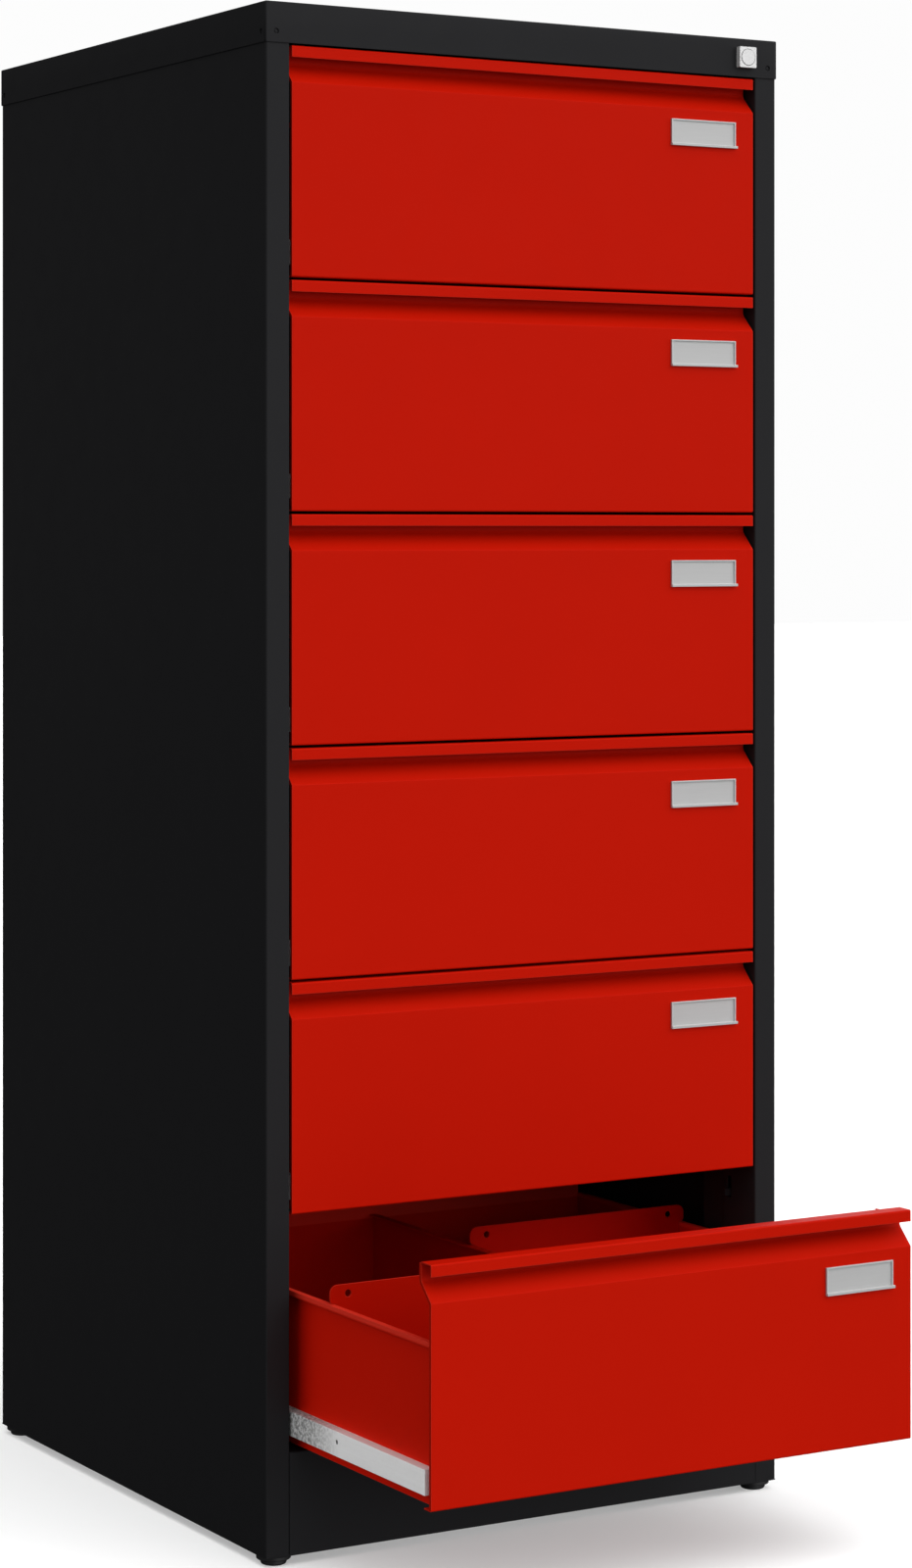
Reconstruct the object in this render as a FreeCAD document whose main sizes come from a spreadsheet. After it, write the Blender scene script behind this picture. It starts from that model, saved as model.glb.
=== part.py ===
"""Card index cabinet: a sheet steel carcass with six two-row drawers on ball runners and a gang lock.

Frame: millimetres, +Z up, the front faces -Y, X runs across the front from the middle plane.
The origin is on the floor, in the middle of the space that the cabinet takes with its lowest drawer open.
"""

import FreeCAD
import Part
import Sketcher
import os
import re

Vector = FreeCAD.Vector

# Driving sizes: alias, value in millimetres, degrees or pieces, and what it is
SIZES = [
    ("body_width", "513", "width over the side panels"),
    ("body_depth", "543.2", "depth from the front strips to the back"),
    ("case_sheet", "1", "sheet thickness of the carcass"),
    ("case_bend", "1.4", "outer bend radius of the carcass edges that show"),
    ("foot_height", "8", "height of the feet below the body"),
    ("strip_width", "22", "width of the front strip of a side panel"),
    ("strip_return", "49", "depth of the return behind the strip's inner edge"),
    ("rear_return", "20", "width of the flange at the rear of a side panel"),
    ("plinth_height", "85.6", "height of the plinth below the lowest drawer"),
    ("plinth_lip", "10", "turned-down lip at the rear of the plinth's top"),
    ("pan_upturn", "30", "height of the base pan's rear edge"),
    ("post_width", "34", "width of an upright, front to back"),
    ("post_depth", "18.9", "depth of an upright, from the side panel inwards"),
    ("post_gap", "1", "gap between the strip's return and the front upright"),
    ("rear_post_inset", "60.2", "from the back to the rear upright's rear face"),
    ("drawer_count", "6", "number of drawers"),
    ("front_gap", "2.43", "gap between one drawer front and the next"),
    ("front_side_gap", "2.25", "gap between a drawer front and the strips"),
    ("skirt_gap", "1.4", "gap between the top drawer and the cover's skirt"),
    ("cover_skirt", "34", "height of the cover's skirt"),
    ("cover_sheet", "1", "sheet thickness of the cover"),
    ("front_height", "191.9", "height of a drawer front"),
    ("front_sheet", "1.2", "sheet thickness of a drawer front"),
    ("front_flange", "11", "depth of the flange along a front's lower edge"),
    ("flat_height", "161.65", "height of the flat part of a front"),
    ("recess_depth", "16.6", "depth of the hand recess over a front's slope"),
    ("lip_height", "9.63", "height of the lip that the hand pulls"),
    ("recess_bend", "5", "bend radius at the foot of the hand recess"),
    ("lip_bend", "1.5", "bend radius of the lip's upper edges"),
    ("hem_depth", "3", "depth of the hems along a front's sides"),
    ("lowest_open", "230.3", "how far the lowest drawer stands open"),
    ("tray_height", "128.05", "height of a tray"),
    ("tray_length", "508.6", "length of a tray"),
    ("tray_sheet", "1", "sheet thickness of a tray and its divider"),
    ("rim_width", "5", "width of the folded rim along a tray's sides"),
    ("rim_drop", "4.4", "height of the folded rim"),
    ("back_rise", "10", "how far a tray's rear wall rises above its sides"),
    ("divider_width", "8", "width of the divider's top flange"),
    ("rail_height", "31.7", "height of a cabinet rail"),
    ("rail_depth", "9.5", "depth of a cabinet rail"),
    ("rail_length", "480", "length of a cabinet rail"),
    ("rail_turn", "3", "height of the turned edges that keep the balls in"),
    ("runner_sheet", "1.2", "sheet thickness of rails and slides"),
    ("slide_height", "20.3", "height of a drawer slide"),
    ("slide_depth", "9", "depth of a drawer slide"),
    ("slide_rear_gap", "0.8", "from the end of a slide to the tray's rear face"),
    ("slide_inset", "9", "from a front's face to the end of its slides"),
    ("web_gap", "2.5", "space between the webs of rail and slide"),
    ("slide_centre", "21.1", "height of the slide's middle above a front's lower edge"),
    ("cage_sheet", "0.8", "sheet thickness of a ball cage"),
    ("cage_length", "80", "length of a ball cage"),
    ("slide_overlap", "133.6", "length of a tray that stays inside when its drawer is fully out"),
    ("cage_margin", "2.5", "from the front upright to the cages with the drawer fully out"),
    ("cage_depth", "6.1", "depth of a ball cage"),
    ("ball_diameter", "4.2", "diameter of a ball"),
    ("ball_belt", "1.8", "height of the widest part of a ball"),
    ("ball_cap", "2.6", "width of the top and bottom of a ball"),
    ("ball_count", "2", "balls in each row of a cage"),
    ("ball_margin", "14", "from a cage's end to its nearest ball"),
    ("left_follower", "173.5", "from a front's face to the left row's follower"),
    ("right_follower", "334", "from a front's face to the right row's follower"),
    ("follower_sheet", "1.5", "sheet thickness of a follower"),
    ("follower_gap", "1", "gap between a follower and its row's walls"),
    ("follower_foot", "25", "depth of the foot at a follower's lower edge"),
    ("sliding_gap", "0.3", "clearance under a follower and beside the lock bar"),
    ("ear_reach", "4.5", "how far an ear reaches over the tray's rim"),
    ("ear_meeting_gap", "1", "gap between the ears of the two rows"),
    ("ear_height", "15.4", "height of a follower's ears"),
    ("ear_top_radius", "7", "radius of an ear's upper corner"),
    ("ear_low_radius", "4", "radius of an ear's lower corner"),
    ("rod_hole", "4.5", "hole in a follower's ear"),
    ("rod_hole_inset", "17", "from the ear's end to its hole"),
    ("rod_hole_drop", "7.6", "from a follower's top to its holes"),
    ("label_width", "68", "width of a label holder"),
    ("label_height", "22.5", "height of a label holder"),
    ("label_inset", "19.75", "from a front's right edge to its label holder"),
    ("label_drop", "9.6", "from the top of a front's flat part to its label holder"),
    ("label_plate", "0.8", "thickness of a label holder's plate"),
    ("label_rim", "1.2", "width of a label holder's rim"),
    ("label_depth", "2", "depth of a label holder"),
    ("ledge_height", "2.2", "height of the ledge under a label holder"),
    ("ledge_depth", "3", "depth of that ledge"),
    ("ledge_reach", "1.5", "how far the ledge reaches past the holder's right edge"),
    ("foot_diameter", "29", "diameter of a foot's upper flange"),
    ("foot_flange", "3.5", "height of a foot's upper flange"),
    ("foot_pad_diameter", "22", "diameter of a foot's lower part"),
    ("foot_side_inset", "14.5", "from the body's side to a foot's centre"),
    ("foot_end_inset", "14.5", "from the body's front or back to a foot's centre"),
    ("lock_inset", "33.7", "from the body's right side to the lock's centre"),
    ("lock_drop", "17", "from the cover's top to the lock's centre"),
    ("lock_width", "17.8", "width of the lock's housing"),
    ("lock_height", "18.5", "height of the lock's housing"),
    ("lock_proud", "5.5", "how far the lock's housing stands out of the skirt"),
    ("lock_edge", "1", "rounding of the housing's front corners"),
    ("barrel_diameter", "17.2", "diameter of the lock's barrel behind the skirt"),
    ("barrel_length", "22", "length of the lock's barrel behind the skirt"),
    ("plug_diameter", "14.2", "diameter of the lock's turning plug"),
    ("turning_gap", "0.2", "clearance round the plug and round the barrel"),
    ("plug_proud", "0.3", "how far the plug stands out of the housing"),
    ("cam_gap", "0.3", "gap between the barrel's end and the cam"),
    ("cam_sheet", "2", "thickness of the cam"),
    ("cam_diameter", "19", "diameter of the cam"),
    ("pin_diameter", "4", "diameter of the cam's pin"),
    ("bar_travel", "10", "how far the lock bar rises"),
    ("slot_gap", "0.35", "clearance round the cam's pin in the bar's slot"),
    ("bar_sheet", "3", "thickness of the lock bar"),
    ("bar_width", "14", "width of the lock bar"),
    ("bar_place", "38.7", "from the front plane to the lock bar"),
    ("bar_tail", "10", "how far the lock bar reaches below its lowest finger"),
    ("arm_height", "11", "height of the lock bar's arm"),
    ("arm_end", "2.2", "metal past the end of the arm's slot"),
    ("finger_height", "6", "height of a finger of the lock bar"),
    ("finger_place", "162.45", "from a front's lower edge to its finger, unlocked"),
    ("finger_reach", "5.5", "how far a finger reaches through the strip's return"),
    ("window_gap", "1.5", "clearance round a finger in its window and its notch"),
    ("tab_sheet", "1.5", "thickness of the lock tab on a front"),
    ("tab_gap", "3.3", "gap between the lock tab and the strip's return"),
    ("tab_length", "29.4", "length of the lock tab behind the recess"),
    ("tab_height", "16", "height of the lock tab"),
    ("tab_wall", "6", "metal over the notch of the lock tab"),
]

# Places worked out from the driving sizes, in the body's own frame: z from the body's underside
PLACES = {
    "half_width": "body_width / 2",
    "drawer_pitch": "front_height + front_gap",
    "first_bottom": "plinth_height + front_gap",
    "top_bottom": "first_bottom + (drawer_count - 1) * drawer_pitch",
    "cover_top": "top_bottom + front_height + skirt_gap + cover_skirt",
    "case_top": "cover_top - cover_sheet",
    "skirt_bottom": "cover_top - cover_skirt",
    "return_face": "half_width - strip_width",
    "opening_half": "half_width - strip_width",
    "back_face": "body_depth - 2 * case_sheet",
    "reach_front": "lowest_open + ledge_depth",
    "front_plane": "(reach_front - body_depth - cover_sheet) / 2",
    "front_half": "opening_half - front_side_gap",
    "front_inner_half": "front_half - front_sheet",
    "recess_face": "recess_depth - front_sheet",
    "slope_top": "flat_height + recess_face",
    "lip_bottom": "front_height - lip_height",
    "lip_under": "front_height - front_sheet",
    "slope_shift": "front_sheet * 0.41421356",
    "hem_shift": "hem_depth * 0.41421356",
    "post_face": "half_width - case_sheet - post_depth",
    "post_front": "strip_return + post_gap",
    "rear_post_front": "body_depth - rear_post_inset - post_width",
    "rail_web": "post_face - runner_sheet",
    "rail_edge": "post_face - rail_depth",
    "slide_face": "rail_web - web_gap",
    "tray_half": "slide_face - slide_depth",
    "slide_web": "slide_face - runner_sheet",
    "tray_inner_half": "tray_half - tray_sheet",
    "rim_half": "tray_inner_half + rim_width",
    "tray_bottom": "front_sheet",
    "tray_floor": "tray_bottom + tray_sheet",
    "tray_top": "tray_bottom + tray_height",
    "tray_front": "front_sheet + tray_sheet",
    "tray_back": "front_sheet + tray_length",
    "row_back": "tray_back - tray_sheet",
    "divider_half": "divider_width / 2",
    "slide_length": "tray_back - slide_rear_gap - slide_inset",
    "drawer_travel": "tray_length - slide_overlap",
    "race_height": "(rail_height / 2 - runner_sheet + slide_height / 2) / 2",
    "cage_place": "post_front + drawer_travel / 2 + cage_margin",
    "cage_face": "rail_web - cage_gap",
    "cage_gap": "(web_gap - cage_sheet) / 2",
    "cage_edge": "cage_face - cage_depth",
    "ball_place": "cage_edge + ball_diameter / 2 + cage_sheet",
    "ear_outer": "tray_inner_half + ear_reach",
    "ear_inner": "ear_meeting_gap / 2",
    "ear_bottom": "tray_top + sliding_gap",
    "ear_top": "ear_bottom + ear_height",
    "follower_outer": "tray_inner_half - follower_gap",
    "follower_inner": "divider_half + follower_gap",
    "follower_bottom": "tray_floor + sliding_gap",
    "hole_height": "ear_top - rod_hole_drop",
    "label_right": "front_half - label_inset",
    "label_left": "label_right - label_width",
    "label_top": "flat_height - label_drop",
    "label_bottom": "label_top - label_height",
    "lock_x": "half_width - lock_inset",
    "lock_z": "cover_top - lock_drop",
    "lock_face": "cover_sheet + lock_proud",
    "barrel_end": "barrel_length",
    "cam_front": "barrel_end + cam_gap",
    "cam_back": "cam_front + cam_sheet",
    "pin_radius": "bar_travel / 2 / 0.70710678",
    "pin_end": "bar_place + bar_sheet + window_gap",
    "bar_outer": "half_width - case_sheet - sliding_gap",
    "bar_inner": "bar_outer - bar_width",
    "bar_back": "bar_place + bar_sheet",
    "slot_z": "lock_z - bar_travel / 2",
    "slot_half": "pin_diameter / 2 + slot_gap",
    "slot_near": "lock_x + bar_travel / 2 - slot_half",
    "slot_far": "lock_x + pin_radius + slot_half",
    "arm_tip": "slot_near - arm_end",
    "finger_tip": "return_face - finger_reach",
    "window_front": "bar_place - window_gap",
    "window_back": "bar_back + window_gap",
    "window_low": "finger_place - window_gap",
    "window_high": "finger_place + finger_height + bar_travel + window_gap",
    "arm_window_low": "slot_z - arm_height / 2 - window_gap",
    "arm_window_high": "slot_z + arm_height / 2 + bar_travel + window_gap",
    "tab_face": "return_face - tab_gap",
    "tab_inner": "tab_face - tab_sheet",
    "tab_back": "recess_depth + tab_length",
    "notch_top": "window_high",
    "tab_top": "notch_top + tab_wall",
    "tab_bottom": "tab_top - tab_height",
}

doc = FreeCAD.newDocument("CardIndexCabinet")
sizes = doc.addObject("Spreadsheet::Sheet", "Sizes")
for row, (alias, number, meaning) in enumerate(SIZES, start=1):
    sizes.set("A%d" % row, meaning)
    sizes.set("B%d" % row, number)
    sizes.setAlias("B%d" % row, alias)
doc.recompute()

ALIASES = {alias for alias, number, meaning in SIZES}
nodes = []


def bound(formula):
    """A formula in size and place names, written out in cells of the sheet."""
    def cell(match):
        word = match.group(0)
        if word in PLACES:
            return "(" + bound(PLACES[word]) + ")"
        if word in ALIASES:
            return "Sizes." + word
        raise NameError("no size or place is called " + word)
    return re.sub(r"[a-z][a-z_]+", cell, str(formula))


def value(formula):
    """What a formula comes to now, in millimetres."""
    return float(sizes.evalExpression(bound(formula)))


def checked(feature):
    """Compute a feature and stop if it failed."""
    doc.recompute()
    if "Invalid" in feature.State or "Error" in feature.State or feature.Shape.isNull():
        raise RuntimeError(feature.Label + " failed")
    return feature


def piece(name, y="0", z="0"):
    """A body in the cabinet's frame; y is from the front plane and z from the body's underside."""
    body = doc.addObject("PartDesign::Body", name)
    body.Label = name
    body.AllowCompound = True
    body.setExpression("Placement.Base.y", bound("front_plane + (%s)" % y))
    body.setExpression("Placement.Base.z", bound("foot_height + (%s)" % z))
    nodes.append(body)
    return body


def origin_feature(body, role):
    return next(item for item in body.Origin.OriginFeatures if item.Role == role)


# For each direction: the plane that a sketch lies on and whether its normal points the other way
PLANES = {"x": ("YZ_Plane", 1), "y": ("XZ_Plane", -1), "z": ("XY_Plane", 1)}


def sketch(body, name, along, start, outlines, circles=()):
    """Closed outlines and circles on the plane across one direction, all bound to the sheet."""
    plane, sense = PLANES[along]
    drawing = body.newObject("Sketcher::SketchObject", name)
    drawing.AttachmentSupport = [(origin_feature(body, plane), "")]
    drawing.MapMode = "FlatFace"
    drawing.setExpression("AttachmentOffset.Base.z", bound("%d * (%s)" % (sense, start)))
    bindings = []
    for points in outlines:
        first = drawing.GeometryCount
        corners = [Vector(value(u), value(w), 0) for u, w in points]
        for i, corner in enumerate(corners):
            following = corners[(i + 1) % len(corners)]
            drawing.addGeometry(Part.LineSegment(corner, following), False)
        for i, (u, w) in enumerate(points):
            edge = first + i
            after = first + (i + 1) % len(points)
            drawing.addConstraint(Sketcher.Constraint("Coincident", edge, 2, after, 1))
            bindings.append(("DistanceX", edge, 1, u))
            bindings.append(("DistanceY", edge, 1, w))
    for u, w, diameter in circles:
        centre = Vector(value(u), value(w), 0)
        circle = drawing.addGeometry(Part.Circle(centre, Vector(0, 0, 1), value(diameter) / 2), False)
        index = drawing.addConstraint(Sketcher.Constraint("Diameter", circle, value(diameter)))
        drawing.setExpression("Constraints[%d]" % index, bound(diameter))
        bindings.append(("DistanceX", circle, 3, u))
        bindings.append(("DistanceY", circle, 3, w))
    for kind, geometry, point, formula in bindings:
        rule = Sketcher.Constraint(kind, -1, 1, geometry, point, value(formula))
        index = drawing.addConstraint(rule)
        drawing.setExpression("Constraints[%d]" % index, bound(formula))
    return drawing


def pad(body, name, along, start, length, outlines, circles=()):
    """Material from start, over length, in the positive direction."""
    feature = body.newObject("PartDesign::Pad", name)
    feature.Profile = sketch(body, name + "_sketch", along, start, outlines, circles)
    feature.setExpression("Length", bound(length))
    feature.Reversed = PLANES[along][1] < 0
    before = body_volume(body, feature)
    checked(feature)
    if feature.Shape.Volume <= before:
        raise RuntimeError(name + " added nothing")
    return feature


def pocket(body, name, along, start, length, outlines, circles=()):
    """Material taken away from start, over length, in the positive direction."""
    feature = body.newObject("PartDesign::Pocket", name)
    feature.Profile = sketch(body, name + "_sketch", along, start, outlines, circles)
    feature.setExpression("Length", bound(length))
    feature.Reversed = PLANES[along][1] > 0
    before = body_volume(body, feature)
    checked(feature)
    if feature.Shape.Volume >= before:
        raise RuntimeError(name + " cut nothing")
    return feature


def body_volume(body, feature):
    base = feature.BaseFeature
    return base.Shape.Volume if base else 0


def row_of(body, name, feature, axis, count, length):
    """A feature repeated in a row along an axis, over length in all."""
    pattern = body.newObject("PartDesign::LinearPattern", name)
    pattern.Originals = [feature]
    pattern.Direction = (origin_feature(body, axis), [""])
    pattern.setExpression("Length", bound(length))
    pattern.setExpression("Occurrences", bound(count))
    body.Tip = pattern
    return checked(pattern)


def rounded(body, name, along, places, radius):
    """Fillets on the straight edges along one direction that stand at the given places."""
    base = body.Tip
    wanted = [(value(u), value(w)) for u, w in places]
    others = [i for i in range(3) if "xyz"[i] != along]
    found = []
    for number, edge in enumerate(base.Shape.Edges, start=1):
        ends = [vertex.Point for vertex in edge.Vertexes]
        if edge.Curve.TypeId != "Part::GeomLine" or len(ends) != 2:
            continue
        spots = [[end[i] for i in others] for end in ends]
        if max(abs(spots[0][0] - spots[1][0]), abs(spots[0][1] - spots[1][1])) > 0.001:
            continue
        if any(abs(spots[0][0] - u) + abs(spots[0][1] - w) < 0.001 for u, w in wanted):
            found.append("Edge%d" % number)
    if len(found) < len(wanted):
        raise RuntimeError(name + " misses an edge")
    fillet = body.newObject("PartDesign::Fillet", name)
    fillet.Base = (base, found)
    fillet.setExpression("Radius", bound(radius))
    return checked(fillet)


def box(u0, u1, w0, w1):
    return [(u0, w0), (u1, w0), (u1, w1), (u0, w1)]


def eight_sided(u, w, width):
    """An eight-sided outline round a middle, as wide from flat to flat as the width says."""
    steps = [(1, 0.41421356), (0.41421356, 1), (-0.41421356, 1), (-1, 0.41421356)]
    steps += [(-across, -up) for across, up in steps]
    return [("%s + %s * %s / 2" % (u, across, width), "%s + %s * %s / 2" % (w, up, width))
            for across, up in steps]


def both_sides(make):
    """The outline for the right side and its mirror image, at +X and -X."""
    return [make("1"), make("-1")]


# Carcass

def side_panel(name, side):
    """C-shaped sheet: outer wall, front strip with its return, and rear flange."""
    body = piece(name, z="case_sheet")
    outline = [
        ("half_width", "0"),
        ("half_width", "body_depth"),
        ("half_width - rear_return", "body_depth"),
        ("half_width - rear_return", "body_depth - case_sheet"),
        ("half_width - case_sheet", "body_depth - case_sheet"),
        ("half_width - case_sheet", "case_sheet"),
        ("return_face + case_sheet", "case_sheet"),
        ("return_face + case_sheet", "strip_return"),
        ("return_face", "strip_return"),
        ("return_face", "0"),
    ]
    mirrored = [("%s * (%s)" % (side, u), w) for u, w in outline]
    pad(body, name + "_sheet", "z", "0", "case_top - case_sheet", [mirrored])
    corners = [("half_width", "0"), ("return_face", "0"), ("half_width", "body_depth")]
    bends = [("%s * (%s)" % (side, u), w) for u, w in corners]
    rounded(body, name + "_bends", "z", bends, "case_bend")
    return body


def lock_windows(body):
    """Windows for the lock bar's fingers and arm in the right strip's return."""
    low = "first_bottom + window_low - case_sheet"
    high = "first_bottom + window_high - case_sheet"
    start = "return_face - case_sheet"
    window = box("window_front", "window_back", low, high)
    first = pocket(body, "finger_window", "x", start, "3 * case_sheet", [window])
    row_of(body, "finger_windows", first, "Z_Axis", "drawer_count", "(drawer_count - 1) * drawer_pitch")
    low = "arm_window_low - case_sheet"
    high = "arm_window_high - case_sheet"
    window = box("window_front", "window_back", low, high)
    pocket(body, "arm_window", "x", start, "3 * case_sheet", [window])


side_panel("side_panel_left", -1)
lock_windows(side_panel("side_panel_right", 1))

back_panel = piece("back_panel", z="case_sheet")
back_half = "half_width - case_sheet"
pad(back_panel, "back_sheet", "z", "0", "case_top - case_sheet",
    [box("-(%s)" % back_half, back_half, "back_face", "back_face + case_sheet")])

base_pan = piece("base_pan")
pan_profile = [
    ("0", "0"),
    ("back_face", "0"),
    ("back_face", "pan_upturn"),
    ("back_face - case_sheet", "pan_upturn"),
    ("back_face - case_sheet", "case_sheet"),
    ("case_sheet", "case_sheet"),
    ("case_sheet", "plinth_height - case_sheet"),
    ("strip_return - case_sheet", "plinth_height - case_sheet"),
    ("strip_return - case_sheet", "plinth_height - plinth_lip"),
    ("strip_return", "plinth_height - plinth_lip"),
    ("strip_return", "plinth_height"),
    ("0", "plinth_height"),
]
pad(base_pan, "pan_fold", "x", "-opening_half", "2 * opening_half", [pan_profile])
pad(base_pan, "pan_floor", "z", "0", "case_sheet", [box("-half_width", "half_width", "0", "body_depth")])
rounded(base_pan, "plinth_bend", "x", [("0", "plinth_height")], "case_bend")

uprights = piece("uprights", z="case_sheet")


def post(side, front):
    """Channel open towards the side panel, with its web facing the drawers."""
    back = "%s + post_width" % front
    outer = "half_width - case_sheet"
    outline = [
        ("post_face", front),
        (outer, front),
        (outer, "%s + case_sheet" % front),
        ("post_face + case_sheet", "%s + case_sheet" % front),
        ("post_face + case_sheet", "%s - case_sheet" % back),
        (outer, "%s - case_sheet" % back),
        (outer, back),
        ("post_face", back),
    ]
    return [("%s * (%s)" % (side, u), w) for u, w in outline]


pad(uprights, "post_channels", "z", "0", "case_top - case_sheet",
    [post(side, front) for side in ("1", "-1") for front in ("post_front", "rear_post_front")])

top_cover = piece("top_cover", z="skirt_bottom")
cover_half = "half_width + cover_sheet"
pad(top_cover, "cover_block", "z", "0", "cover_skirt",
    [box("-(%s)" % cover_half, cover_half, "-cover_sheet", "body_depth + cover_sheet")])
cover_corners = [(u, w) for u in ("-(%s)" % cover_half, cover_half)
                 for w in ("-cover_sheet", "body_depth + cover_sheet")]
rounded(top_cover, "cover_corners", "z", cover_corners, "case_bend")
pocket(top_cover, "cover_hollow", "z", "0", "cover_skirt - cover_sheet",
       [box("-half_width", "half_width", "0", "body_depth")])
pocket(top_cover, "lock_opening", "y", "-2 * cover_sheet", "3 * cover_sheet", [],
       [("lock_x", "lock_z - skirt_bottom", "barrel_diameter + 2 * turning_gap")])

feet = piece("feet")
foot_spots = [(u, w) for u in ("half_width - foot_side_inset", "-(half_width - foot_side_inset)")
              for w in ("foot_end_inset", "body_depth - foot_end_inset")]
pad(feet, "foot_flanges", "z", "-foot_flange", "foot_flange", [],
    [(u, w, "foot_diameter") for u, w in foot_spots])
pad(feet, "foot_pads", "z", "-foot_height", "foot_height - foot_flange", [],
    [(u, w, "foot_pad_diameter") for u, w in foot_spots])


# Rails on the uprights

def rail(side):
    """Channel with its edges turned in behind the balls; z from the slide's middle."""
    half = "rail_height / 2"
    inner = "rail_height / 2 - runner_sheet"
    turn = "rail_height / 2 - rail_turn"
    outline = [
        ("post_face", "-(%s)" % half),
        ("post_face", half),
        ("rail_edge", half),
        ("rail_edge", turn),
        ("rail_edge + runner_sheet", turn),
        ("rail_edge + runner_sheet", inner),
        ("rail_web", inner),
        ("rail_web", "-(%s)" % inner),
        ("rail_edge + runner_sheet", "-(%s)" % inner),
        ("rail_edge + runner_sheet", "-(%s)" % turn),
        ("rail_edge", "-(%s)" % turn),
        ("rail_edge", "-(%s)" % half),
    ]
    return [("%s * (%s)" % (side, u), w) for u, w in outline]


cabinet_runners = piece("cabinet_runners", z="first_bottom + slide_centre")
rails = pad(cabinet_runners, "rail_pair", "y", "post_front", "rail_length", both_sides(rail))
row_of(cabinet_runners, "rail_pairs", rails, "Z_Axis", "drawer_count", "(drawer_count - 1) * drawer_pitch")


# Drawers: y from the front's face, z from the front's lower edge

def drawer_front(name, y, z):
    """Folded front with a hand recess under its lip, hemmed sides and a lock tab."""
    body = piece(name, y, z)
    profile = [
        ("0", "0"),
        ("front_flange", "0"),
        ("front_flange", "front_sheet"),
        ("front_sheet", "front_sheet"),
        ("front_sheet", "flat_height - slope_shift"),
        ("recess_depth", "slope_top - slope_shift"),
        ("recess_depth", "front_height"),
        ("0", "front_height"),
        ("0", "lip_bottom"),
        ("front_sheet", "lip_bottom"),
        ("front_sheet", "lip_under"),
        ("recess_face", "lip_under"),
        ("recess_face", "slope_top"),
        ("0", "flat_height"),
    ]
    pad(body, name + "_sheet", "x", "-front_half", "2 * front_half", [profile])
    rounded(body, name + "_recess_bend", "x", [("recess_face", "slope_top")], "recess_bend")
    rounded(body, name + "_lip_bends", "x",
            [("0", "front_height"), ("recess_depth", "front_height"), ("0", "0"), ("0", "flat_height")],
            "lip_bend")
    hem = [
        ("front_sheet / 2", "front_sheet / 2"),
        ("hem_depth", "front_sheet / 2"),
        ("hem_depth", "flat_height - hem_shift"),
        ("recess_face + hem_depth", "slope_top - hem_shift"),
        ("recess_face + hem_depth", "lip_under"),
        ("recess_depth - front_sheet / 2", "lip_under"),
        ("recess_depth - front_sheet / 2", "slope_top + front_sheet / 2"),
        ("front_sheet / 2", "flat_height"),
    ]
    pad(body, name + "_hem_left", "x", "-front_half", "front_sheet", [hem])
    pad(body, name + "_hem_right", "x", "front_inner_half", "front_sheet", [hem])
    tab = [
        ("recess_face + front_sheet / 2", "tab_bottom"),
        ("window_front", "tab_bottom"),
        ("window_front", "notch_top"),
        ("window_back", "notch_top"),
        ("window_back", "tab_bottom"),
        ("tab_back", "tab_bottom"),
        ("tab_back", "tab_top"),
        ("recess_face + front_sheet / 2", "tab_top"),
    ]
    pad(body, name + "_lock_tab", "x", "tab_inner", "tab_sheet", [tab])
    return body


def label_holder(name, y, z):
    """Empty card frame with a ledge along its lower edge."""
    body = piece(name, y, z)
    pad(body, name + "_plate", "y", "-label_plate", "label_plate",
        [box("label_left", "label_right", "label_bottom", "label_top")])
    rim = [
        box("label_left", "label_right", "label_bottom", "label_top"),
        box("label_left + label_rim", "label_right - label_rim", "label_bottom + label_rim",
            "label_top - label_rim"),
    ]
    pad(body, name + "_rim", "y", "-label_depth", "label_depth - label_plate / 2", rim)
    pad(body, name + "_ledge", "y", "-ledge_depth", "ledge_depth",
        [box("label_left", "label_right + ledge_reach", "label_bottom - ledge_height / 3",
             "label_bottom + ledge_height * 2 / 3")])
    return body


def tray(name, y, z):
    """Open box with a folded rim along each side and a higher wall at the rear."""
    body = piece(name, y, z)
    pad(body, name + "_block", "z", "tray_bottom", "tray_height",
        [box("-tray_half", "tray_half", "front_sheet", "tray_back")])
    pocket(body, name + "_hollow", "z", "tray_floor", "tray_height",
           [box("-tray_inner_half", "tray_inner_half", "tray_front", "row_back")])

    def rim(side):
        outline = [
            ("tray_half - tray_sheet / 2", "tray_top"),
            ("tray_half - tray_sheet / 2", "tray_top - tray_sheet"),
            ("rim_half - tray_sheet", "tray_top - tray_sheet"),
            ("rim_half - tray_sheet", "tray_top - rim_drop"),
            ("rim_half", "tray_top - rim_drop"),
            ("rim_half", "tray_top"),
        ]
        return [("%s * (%s)" % (side, u), w) for u, w in outline]
    pad(body, name + "_rims", "y", "front_sheet", "tray_length", both_sides(rim))
    pad(body, name + "_rear_rise", "z", "tray_top - tray_sheet", "back_rise + tray_sheet",
        [box("-tray_half", "tray_half", "row_back", "tray_back")])
    return body


def divider(name, y, z):
    """Wall between the two rows of cards, with a flange along its top."""
    body = piece(name, y, z)
    web = "tray_sheet / 2"
    outline = [
        (web, "tray_floor"),
        (web, "tray_top - tray_sheet"),
        ("divider_half", "tray_top - tray_sheet"),
        ("divider_half", "tray_top"),
        ("-divider_half", "tray_top"),
        ("-divider_half", "tray_top - tray_sheet"),
        ("-" + web, "tray_top - tray_sheet"),
        ("-" + web, "tray_floor"),
    ]
    pad(body, name + "_sheet", "y", "tray_front", "row_back - tray_front", [outline])
    return body


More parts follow.
